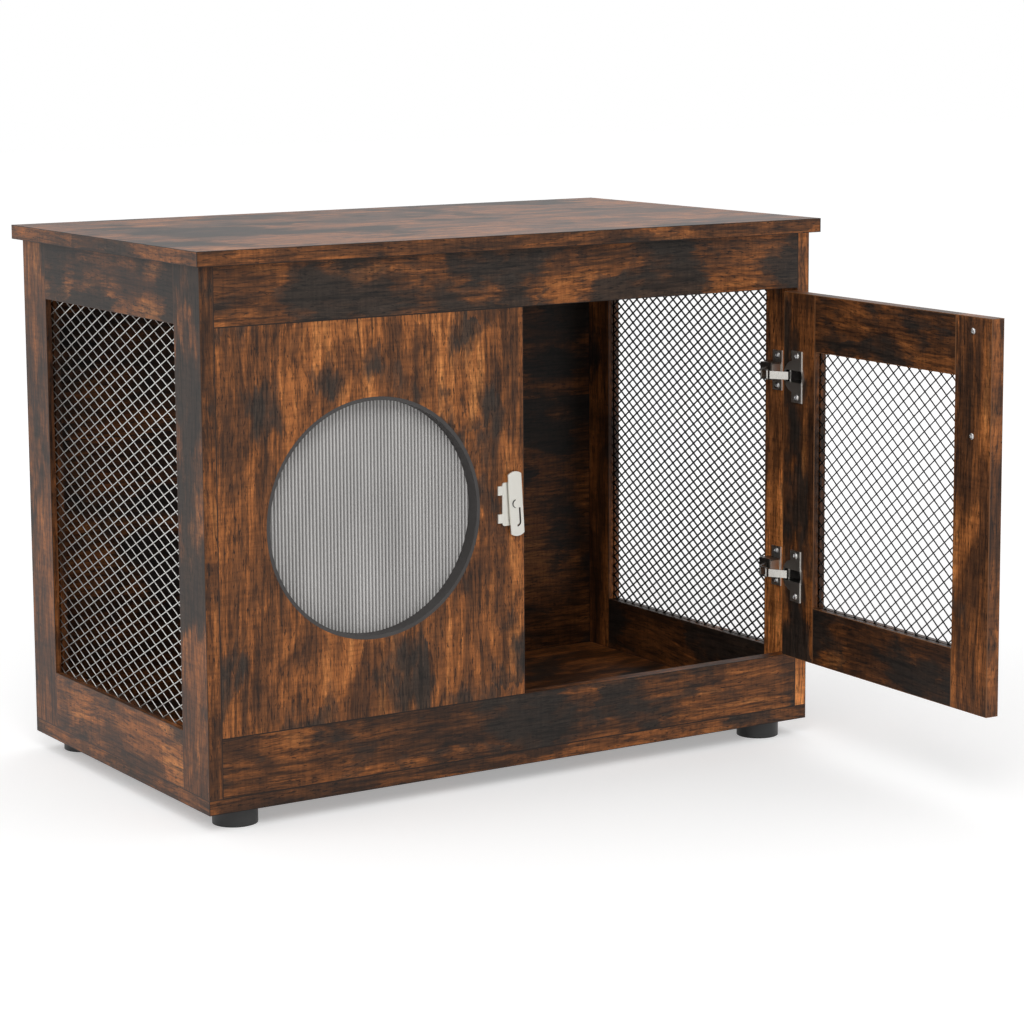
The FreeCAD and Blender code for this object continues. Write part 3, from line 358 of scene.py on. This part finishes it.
def metalFinish(name, tint, rough, grainScale, onDoor=False, metallic=1.0, wear=0.06):
    look = fittingLook
    paint = Paint(name)
    spot = paint.place(onDoor)
    brushed = paint.brushed(spot, grainScale, grainScale * look["drawnOut"])
    cloud = paint.noise(spot, look["cloudScale"], 3.0, 0.6)
    shade = paint.ramp(cloud, [(0.3, 1 - wear * 2), (0.7, 1.0)])
    base = paint.mix(1.0, (*tint, 1), shade, "MULTIPLY")
    return paint.finish(Base_Color=base, Metallic=metallic, Roughness=rough + brushed * look["brushing"],
                        Normal=paint.bump(brushed, look["brushDepth"], look["brushStrength"]))


def plasticFinish(name, tint, rough, pebble, onDoor=False):
    paint = Paint(name)
    spot = paint.place(onDoor)
    pebbles = paint.noise(spot, pebble, 2.0, 0.5)
    dust = paint.noise(spot, fittingLook["dustScale"], 4.0, 0.6)
    dusty = paint.ramp(dust, [(0.45, 0.0), (0.8, 0.12)])
    base = paint.mix(dusty, (*tint, 1), (*fittingLook["dust"], 1))
    return paint.finish(Base_Color=base, Roughness=rough + dust * 0.12, Normal=paint.bump(pebbles, 0.00006, 0.5))


def dowelFinish(name, onDoor=False):
    paint = Paint(name)
    lines = paint.brushed(paint.place(onDoor), 60, 700)
    return paint.finish(Base_Color=paint.ramp(lines, fittingLook["beech"]), Roughness=0.6 + lines * 0.2)


# hinge cups and plates

# the dark tone for the cup's hollow is painted shade; the light edge strip is a painted highlight
hingeLook = {"plating": colour(212, 209, 203), "hollowShade": (0.11, 0.105, 0.10), "edgeHighlight": colour(232, 228, 220),
             "edgeHighlightWidth": 0.0011, "wingHeight": 0.002, "innerFace": -0.209, "metal": (1.0, 0.2)}


def platedFinish(name, onDoor):
    # the rolled edge of the two wings carries a painted highlight; the cup's hollow, deeper than the door's inner
    # face, carries painted shade
    look = hingeLook
    paint = Paint(name)
    spot = paint.place(onDoor)
    x, y, z = paint.split(spot)
    brushed = paint.brushed(spot, 900, 110)
    base = (*look["plating"], 1)
    if onDoor:
        # painted shade in the cup's hollow, below the door's inner face
        deep = (y - look["innerFace"]) * 100 + 0.10
        base = paint.ramp(deep, [(0.04, look["hollowShade"]), (0.10, look["plating"])])
        points = shutDoor(nodePoints("upper_hinge_cup"))
        away = np.abs(points[:, 2] - points[:, 2].mean())
        # a painted highlight along the cup flange's outer edge, lighter and less metallic
        edgeHighlight = x.near(float(points[away > away.max() * 0.9, 0].min()), look["edgeHighlightWidth"])
    else:
        points = nodePoints("upper_hinge_plate")
        # a painted highlight along the plate's wing edge, lighter and less metallic
        edgeHighlight = y < float(points[:, 1].min()) + look["edgeHighlightWidth"]
        edgeHighlight = edgeHighlight * (x > float(points[:, 0].max()) - look["wingHeight"])
    flat, shining = look["metal"]
    return paint.finish(Base_Color=paint.mix(edgeHighlight, base, (*look["edgeHighlight"], 1)),
                        Metallic=edgeHighlight * (shining - flat) + flat, Roughness=0.26 + brushed * 0.16)


# turn latch; lengths are taken from the pivot, lean is the bar's tilt to the left in degrees
# shadow: the painted shade in the slot and on a ring at the rivet head's left rim
latchLook = {"pivot": (-0.014, 0.316), "lean": 3.4, "slotAcross": 0.004, "slotHalf": 0.00105,
             "slotTop": -0.0047, "slotBottom": -0.0205, "groove": 0.0042, "grooveSide": -0.0012,
             "tint": colour(222, 220, 212), "shadow": colour(14, 13, 12), "metallic": 0.85, "rough": 0.36}


def latchFinish(name, part):
    # the bar's hooked slot and the rivet's left rim are painted in shadow colour
    look = latchLook
    half = look["slotHalf"]
    paint = Paint(name)
    spot = paint.place()
    x, y, z = paint.split(spot)
    lean = math.radians(look["lean"])
    right, up = x - look["pivot"][0], z - look["pivot"][1]
    across, high = right * math.cos(lean) + up * math.sin(lean), up * math.cos(lean) - right * math.sin(lean)
    if part == "bar":
        # the hooked slot, painted in shadow colour
        below = high - look["slotBottom"]
        ringed = paint.length(paint.joined(across, below, 0.0))
        straight = abs(across - look["slotAcross"]).most(high - look["slotTop"] + half).most(below * -1.0 + half)
        hook = abs(ringed - look["slotAcross"]).most(below + half).most(across * -1.0 + half)
        dark = paint.ramp(straight.least(hook) * (0.5 / half), [(0.46, 1.0), (0.54, 0.0)])
    else:
        # a ring at the rivet head's left rim, painted in shadow colour
        rim = paint.length(paint.joined(right, up, 0.0)) > look["groove"]
        dark = rim * (right < look["grooveSide"])
    brushed = paint.brushed(spot, 1200, 140)
    base = paint.mix(dark, (*look["tint"], 1), (*look["shadow"], 1))
    return paint.finish(Base_Color=base, Metallic=look["metallic"],
                        Roughness=look["rough"] + brushed * fittingLook["brushing"],
                        Normal=paint.bump(brushed, fittingLook["brushDepth"], fittingLook["brushStrength"]))


nickel = metalFinish("hinge_nickel", colour(205, 202, 196), 0.20, 900)
doorNickel = metalFinish("hinge_nickel_door", colour(205, 202, 196), 0.28, 900, True)
cupNickel = platedFinish("hinge_cup_plated", True)
plateNickel = platedFinish("hinge_plate_plated", False)
armSteel = metalFinish("arm_steel", colour(120, 117, 112), 0.30, 900)
satinNickel = metalFinish("latch_satin", latchLook["tint"], latchLook["rough"], 1200, False, latchLook["metallic"],
                          0.03)
latchBarMetal = latchFinish("latch_bar_satin", "bar")
latchPivotMetal = latchFinish("latch_pivot_satin", "pivot")
zinc = metalFinish("screw_zinc", colour(205, 205, 205), 0.22, 1500)
doorZinc = metalFinish("screw_zinc_door", colour(214, 214, 214), 0.22, 1500, True)
camZinc = metalFinish("cam_zinc", colour(165, 165, 165), 0.42, 500)
footBlack = plasticFinish("foot_black", colour(34, 34, 34), 0.42, 1500)
sealBlack = plasticFinish("seal_grey", colour(58, 55, 54), 0.5, 900)
pullBlack = plasticFinish("pull_black", colour(32, 31, 30), 0.38, 1800, True)
beech = dowelFinish("dowel_beech")
doorBeech = dowelFinish("dowel_beech_door", True)

finishes = {
    "upper_hinge_cup": cupNickel, "lower_hinge_cup": cupNickel, "hinge_cup_pins": doorNickel,
    "upper_hinge_link": nickel, "lower_hinge_link": nickel, "hinge_arm_pins": nickel,
    "upper_hinge_arm": armSteel, "lower_hinge_arm": armSteel,
    "upper_hinge_plate": plateNickel, "lower_hinge_plate": plateNickel,
    "hinge_cup_screws": doorZinc, "hinge_arm_screws": zinc, "hinge_plate_screws": zinc,
    "latch_base": satinNickel, "latch_bar": latchBarMetal, "latch_pivot": latchPivotMetal,
    "latch_screws": zinc, "window_screws": zinc, "base_screws": zinc, "foot_studs": zinc, "top_cam_bolts": zinc,
    "top_cam_locks": camZinc, "door_pull_screws": doorZinc, "door_pull": pullBlack,
    "front_left_foot": footBlack, "front_right_foot": footBlack,
    "back_left_foot": footBlack, "back_right_foot": footBlack,
    "window_gasket": sealBlack,
    "side_frame_dowels": beech, "front_rail_dowels": beech, "front_panel_dowels": beech,
    "back_panel_dowels": beech, "door_frame_dowels": doorBeech,
}
for name, material in finishes.items():
    dress(name, material)
print("fittings dressed:", len(finishes))


# mesh making

def makePiece(name, points, faces, material, body, smooth=True):
    mesh = bpy.data.meshes.new(name)
    mesh.from_pydata([tuple(point) for point in points], [], [tuple(face) for face in faces])
    mesh.validate()
    mesh.update()
    if smooth:
        mesh.shade_smooth()
    mesh.materials.append(material)
    piece = bpy.data.objects.new(name, mesh)
    bpy.context.scene.collection.objects.link(piece)
    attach(piece, body)
    return piece


def ringFaces(rows, around, forward):
    # quads between each ring of points and the next, first ring lowest when forward
    row = np.arange(rows - 1)[:, None] * around
    here, there = np.arange(around)[None], ((np.arange(around) + 1) % around)[None]
    corners = [row + here, row + there, row + around + there, row + around + here]
    if not forward:
        corners = [corners[0], corners[3], corners[2], corners[1]]
    return np.stack(corners, -1).reshape(-1, 4).tolist()


def tubes(paths, radius, sides):
    # each path carries a round ring: centre + radius * (side * cos + lift * sin), closed by a face at each end
    allPoints, allFaces, start = [], [], 0
    turn = np.arange(sides) * 2 * np.pi / sides
    for path, side, lift in paths:
        ring = np.cos(turn)[:, None] * side[None] + np.sin(turn)[:, None] * lift[None]
        points = (path[:, None, :] + radius * ring[None]).reshape(-1, 3)
        faces = ringFaces(len(path), sides, True)
        faces.append(list(range(sides))[::-1])
        faces.append(list(range(len(points) - sides, len(points))))
        allPoints.append(points)
        allFaces += [[corner + start for corner in face] for face in faces]
        start += len(points)
    return np.concatenate(allPoints), allFaces


# wire panels

wireNets = {
    # pitch: diamond width and height; wire: radius; tint: its steel, lightened on the left net as a painted
    # highlight and darkened on the right and door nets as painted shade
    "left_mesh": {"pitch": (0.0287, 0.01395), "wire": 0.00060, "body": "cabinet", "finish": "wire_painted_highlight",
                  "tint": colour(205, 205, 202)},
    "right_mesh": {"pitch": (0.0174, 0.0120), "wire": 0.00112, "body": "cabinet", "finish": "wire_painted_shade",
                   "tint": colour(66, 66, 66)},
    "door_mesh": {"pitch": (0.0186, 0.0146), "wire": 0.00080, "body": "door", "finish": "wire_dark",
                  "tint": colour(62, 62, 62)},
}
wireBuild = {"sides": 6, "margin": 0.0012, "apart": 0.9, "shortest": 0.4}


def wireNet(name, spec):
    # straight wires on the lines across/a - up/b = 2k and across/a + up/b = 2m, a and b being half the pitch;
    # the first set lies 0.9 of a wire's radius before the middle plane, the second as far behind it
    points = shutPoints(name)
    onDoor = name.startswith("door")
    low, high = points.min(0), points.max(0)
    flat, wide = (1, 0) if onDoor else (0, 1)
    centre, reach = (low + high) / 2, (high - low) / 2 - wireBuild["margin"]
    halfWide, halfHigh = spec["pitch"][0] / 2, spec["pitch"][1] / 2
    limitWide, limitHigh = reach[wide] / halfWide, reach[2] / halfHigh
    most = int((limitWide + limitHigh) / 2) + 1
    lift = np.zeros(3)
    lift[flat] = 1.0
    paths = []
    for sign in (1, -1):
        along = np.zeros(3)
        along[wide], along[2] = halfWide, sign * halfHigh
        along /= np.linalg.norm(along)
        side = np.cross(lift, along)
        for index in range(-most, most + 1):
            # on this wire: across = index + run, up = sign * (run - index)
            first = max(-limitWide - index, index - limitHigh)
            last = min(limitWide - index, index + limitHigh)
            if last - first < wireBuild["shortest"]:
                continue
            run = np.array([first, (first + last) / 2, last])
            path = np.zeros((len(run), 3))
            path[:, wide] = centre[wide] + (index + run) * halfWide
            path[:, 2] = centre[2] + sign * (run - index) * halfHigh
            path[:, flat] = centre[flat] + sign * spec["wire"] * wireBuild["apart"]
            paths.append((path, side, np.cross(along, side)))
    netPoints, netFaces = tubes(paths, spec["wire"], wireBuild["sides"])
    if onDoor:
        netPoints = openDoor(netPoints)
    return netPoints, netFaces, len(paths)


def wireFinish(name, tint, onDoor):
    paint = Paint(name)
    speck = paint.noise(paint.place(onDoor), 400.0, 3.0, 0.6)
    shaded = (*[part * 0.55 for part in tint], 1)
    base = paint.mix(paint.ramp(speck, [(0.4, 0.0), (0.75, 0.5)]), (*tint, 1), shaded)
    return paint.finish(Base_Color=base, Metallic=0.9, Roughness=0.30 + speck * 0.2)


for name, spec in wireNets.items():
    netPoints, netFaces, count = wireNet(name, spec)
    steel = wireFinish(spec["finish"], spec["tint"], spec["body"] == "door")
    net = makePiece(name.replace("mesh", "crossed_wire"), netPoints, netFaces, steel, spec["body"])
    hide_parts(name)
    print(name, "laid from", count, "wires,", len(netFaces), "faces")


# ribbed window pane

window = {"centre": (-0.18875, 0.316), "radius": 0.1418, "front": -0.2073, "thick": 0.0028,
          "pitch": 0.0042, "ribDepth": 0.0011, "perRib": 10, "endGap": 0.00005,
          # crown: painted highlight and shade across each rib
          "crown": [(0.12, colour(128, 126, 124)), (0.5, colour(176, 173, 171)), (0.88, colour(232, 230, 228))],
          "haze": [(0.35, 0.80), (0.65, 1.0)], "clear": 0.12}


def ribbedPane(spec):
    # columns across x: half height is sqrt(radius^2 - x^2); the front bulges by
    # ribDepth * |sin(pi x / pitch)|
    radius = spec["radius"]
    reach = radius * (1 - spec["endGap"])
    ribs = int(2 * radius / spec["pitch"])
    x = np.linspace(-reach, reach, ribs * spec["perRib"] + 1)
    half = np.sqrt(radius ** 2 - x ** 2)
    bulge = spec["ribDepth"] * np.abs(np.sin(np.pi * (x + radius) / spec["pitch"]))
    front = spec["front"] + spec["ribDepth"] - bulge
    back = np.full_like(x, spec["front"] + spec["thick"])
    cx, cz = spec["centre"]
    ring = [np.stack([cx + x, front, cz + half], 1), np.stack([cx + x, front, cz - half], 1),
            np.stack([cx + x, back, cz - half], 1), np.stack([cx + x, back, cz + half], 1)]
    points = np.stack(ring, 1).reshape(-1, 3)
    faces = ringFaces(len(x), 4, True)
    faces.append([3, 2, 1, 0])
    faces.append(list(range(len(points) - 4, len(points))))
    return points, faces


def paneFinish():
    # each rib runs from a painted highlight on its crown to painted shade in its grey valley; broad soft bands lie
    # over them
    paint = Paint("pane_ribbed")
    x, y, z = paint.split(paint.place())
    turns = (x - (window["centre"][0] - window["radius"])) / window["pitch"]
    crown = paint.maths("PINGPONG", turns, 0.5) * 2.0
    haze = paint.noise(paint.joined(x * 14, 0.0, z * 5), 1.0, 2.0, 0.5)
    ribs = paint.ramp(crown, window["crown"])
    base = paint.mix(1.0, ribs, paint.ramp(haze, window["haze"]), "MULTIPLY")
    return paint.finish(Base_Color=base, Roughness=0.34 + haze * 0.1, Transmission_Weight=window["clear"],
                        IOR=1.45)


panePoints, paneFaces = ribbedPane(window)
pane = makePiece("window_pane_ribbed", panePoints, paneFaces, paneFinish(), "cabinet", False)
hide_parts("window_pane")
print("pane ribbed,", len(paneFaces), "faces")


# cross-head screws

screwSets = {
    # spots of the shut door or the cabinet; out: the way the head faces
    "door_pull_screws": {"spots": [(0.0325, -0.209, 0.514), (0.0325, -0.209, 0.402)], "out": (0, 1, 0),
                         "head": 0.0035, "rise": 0.0014, "shank": 0.002, "length": 0.026, "body": "door"},
    "hinge_cup_screws": {"spots": [(0.3478, -0.2078, 0.4565), (0.3478, -0.2078, 0.4085),
                                   (0.3478, -0.2078, 0.2235), (0.3478, -0.2078, 0.1755)], "out": (0, 1, 0),
                         "head": 0.0038, "rise": 0.0016, "shank": 0.0018, "length": 0.011, "body": "door"},
    "hinge_plate_screws": {"spots": [(0.3745, -0.1895, 0.4505), (0.3745, -0.1895, 0.4145),
                                     (0.3745, -0.1895, 0.2175), (0.3745, -0.1895, 0.1815)], "out": (-1, 0, 0),
                           "head": 0.0038, "rise": 0.0018, "shank": 0.002, "length": 0.013, "body": "cabinet"},
    "hinge_arm_screws": {"spots": [(0.3595, -0.184, 0.4325), (0.3595, -0.184, 0.1995)], "out": (-1, 0, 0),
                         "head": 0.004, "rise": 0.002, "shank": 0.0025, "length": 0.009, "body": "cabinet"},
}

# the rings of a head as shares of its radius; the cross reaches out to crossEnd and is crossHalf of it wide
screwHead = {"rings": (0.06, 0.14, 0.20, 0.30, 0.42, 0.54, 0.60, 0.70, 0.86, 0.97), "around": 40,
             "crossHalf": 0.15, "crossWall": 0.05, "crossEnd": 0.60, "endWall": 0.06, "crossDepth": 0.8,
             "dome": 0.8, "rim": 0.32, "firstTwist": 22, "twist": 31}


def screwShape(spec):
    # rings of radius r and height h: a dome rise * sqrt(1 - dome (r / head)^2), lowered by a cross of two slots,
    # then down the rim, in to the shank and along it to a blunt point
    head, rise, shank, length = spec["head"], spec["rise"], spec["shank"], spec["length"]
    look, around = screwHead, screwHead["around"]
    turn = np.arange(around) * 2 * np.pi / around
    rings = []
    for share in look["rings"]:
        radius = head * share
        across = np.minimum(np.abs(np.cos(turn)), np.abs(np.sin(turn))) * radius
        slot = np.clip((head * look["crossHalf"] - across) / (head * look["crossWall"]), 0, 1)
        slot = slot * np.clip((look["crossEnd"] - share) / look["endWall"], 0, 1)
        sunk = slot * rise * look["crossDepth"] * (1 - 0.5 * share)
        rings.append((np.full(around, radius), rise * np.sqrt(1 - look["dome"] * share ** 2) - sunk))
    for radius, height in ((head, rise * look["rim"]), (head, 0.0), (shank, 0.0), (shank, -length * 0.8),
                           (shank * 0.25, -length)):
        rings.append((np.full(around, radius), np.full(around, height)))
    points = np.concatenate([np.stack([radius * np.cos(turn), radius * np.sin(turn), height], 1)
                             for radius, height in rings])
    faces = ringFaces(len(rings), around, False)
    faces.append(list(range(around)))
    faces.append(list(range(len(points) - around, len(points)))[::-1])
    return points, faces


def screwSet(spec):
    shape, shapeFaces = screwShape(spec)
    turn = np.array(Vector(spec["out"]).to_track_quat("Z", "Y").to_matrix())
    points, faces = [], []
    for number, spot in enumerate(spec["spots"]):
        twist = math.radians(screwHead["firstTwist"] + screwHead["twist"] * number)
        spin = np.array([[math.cos(twist), -math.sin(twist), 0], [math.sin(twist), math.cos(twist), 0], [0, 0, 1]])
        faces += [[corner + number * len(shape) for corner in face] for face in shapeFaces]
        points.append(shape @ spin.T @ turn.T + np.array(spot))
    points = np.concatenate(points)
    return openDoor(points) if spec["body"] == "door" else points, faces


for name, spec in screwSets.items():
    points, faces = screwSet(spec)
    screws = makePiece(name + "_crossed", points, faces, finishes[name], spec["body"], False)
    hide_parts(name)
print("screws made:", len(screwSets), "sets")


# floor, light and camera

studio = {
    "world": 0.66, "floorHalf": 14.0, "floorTone": 0.86,
    # the floor's own glow rises from near the object to the far edge, so that the far floor is plain white
    "glowNear": 0.34, "glowFar": 0.46, "glowFrom": 0.8, "glowTo": 3.0,
    # light: place, aim, side of the square, power
    "lights": {
        "key_light": ((-1.6, -2.6, 2.6), (0, 0, 0.3), 1.8, 40.0),
        "side_light": ((-2.6, 0.8, 1.6), (0, 0, 0.3), 1.6, 9.0),
        "back_light": ((1.8, 1.8, 2.6), (0, 0, 0.4), 1.6, 9.0),
    },
    "camera": {"place": (-1.7279, -2.9330, 0.8533), "yaw": 32.299, "down": 8.103, "roll": -0.36,
               "lens": 103.984, "sensor": 36.0, "shift": -0.08, "reach": 60},
}


def floorAndBackdrop():
    far, tone = studio["floorHalf"], studio["floorTone"]
    mesh = bpy.data.meshes.new("studio_floor")
    mesh.from_pydata([(-far, -far, 0), (far, -far, 0), (far, far, 0), (-far, far, 0)], [], [(0, 1, 2, 3)])
    floor = bpy.data.objects.new("studio_floor", mesh)
    bpy.context.scene.collection.objects.link(floor)
    paint = Paint("floor_white")
    diffuse = paint.add("ShaderNodeBsdfDiffuse", {}, {"Color": (tone, tone, tone, 1)})
    rise = paint.add("ShaderNodeMapRange", {"interpolation_type": "SMOOTHSTEP"},
                     {"Value": paint.length(paint.place()), "From Min": studio["glowFrom"],
                      "From Max": studio["glowTo"], "To Min": studio["glowNear"], "To Max": studio["glowFar"]})
    glow = paint.add("ShaderNodeEmission", {}, {"Color": rise, "Strength": 1.0})
    lit = paint.add("ShaderNodeAddShader", {}, {0: diffuse, 1: glow})
    shown = paint.add("ShaderNodeMixShader", {}, {0: paint.seen(), 1: diffuse, 2: lit})
    paint.feed(paint.tree.nodes["Material Output"].inputs["Surface"], shown)
    mesh.materials.append(paint.owner)


def worldLight():
    paint = Paint("studio_world", "worlds")
    bpy.context.scene.world = paint.owner
    background = paint.tree.nodes["Background"]
    paint.feed(background.inputs["Color"], (1, 1, 1, 1))
    level = paint.add("ShaderNodeMapRange", {}, {"Value": paint.seen(), "To Min": studio["world"], "To Max": 1.0})
    paint.feed(background.inputs["Strength"], level)


def softLight(name, place, aim, side, power):
    lamp = bpy.data.lights.new(name, "AREA")
    lamp.shape = "RECTANGLE"
    lamp.size, lamp.size_y = side, side
    lamp.energy = power
    holder = bpy.data.objects.new(name, lamp)
    bpy.context.scene.collection.objects.link(holder)
    holder.location = place
    holder.rotation_euler = (Vector(aim) - Vector(place)).to_track_quat("-Z", "Y").to_euler()


def camera(view):
    lens = bpy.data.cameras.new("camera")
    lens.lens, lens.sensor_width, lens.shift_y = view["lens"], view["sensor"], view["shift"]
    lens.clip_end = view["reach"]
    holder = bpy.data.objects.new("camera", lens)
    bpy.context.scene.collection.objects.link(holder)
    turn = Matrix.Rotation(-math.radians(view["yaw"]), 4, "Z")
    turn = turn @ Matrix.Rotation(math.radians(90 - view["down"]), 4, "X")
    turn = turn @ Matrix.Rotation(math.radians(view["roll"]), 4, "Z")
    holder.matrix_world = Matrix.Translation(view["place"]) @ turn
    bpy.context.scene.camera = holder


floorAndBackdrop()
worldLight()
for name, (place, aim, side, power) in studio["lights"].items():
    softLight(name, place, aim, side, power)
camera(studio["camera"])
bpy.context.scene.view_settings.view_transform = "Standard"
print("studio ready")
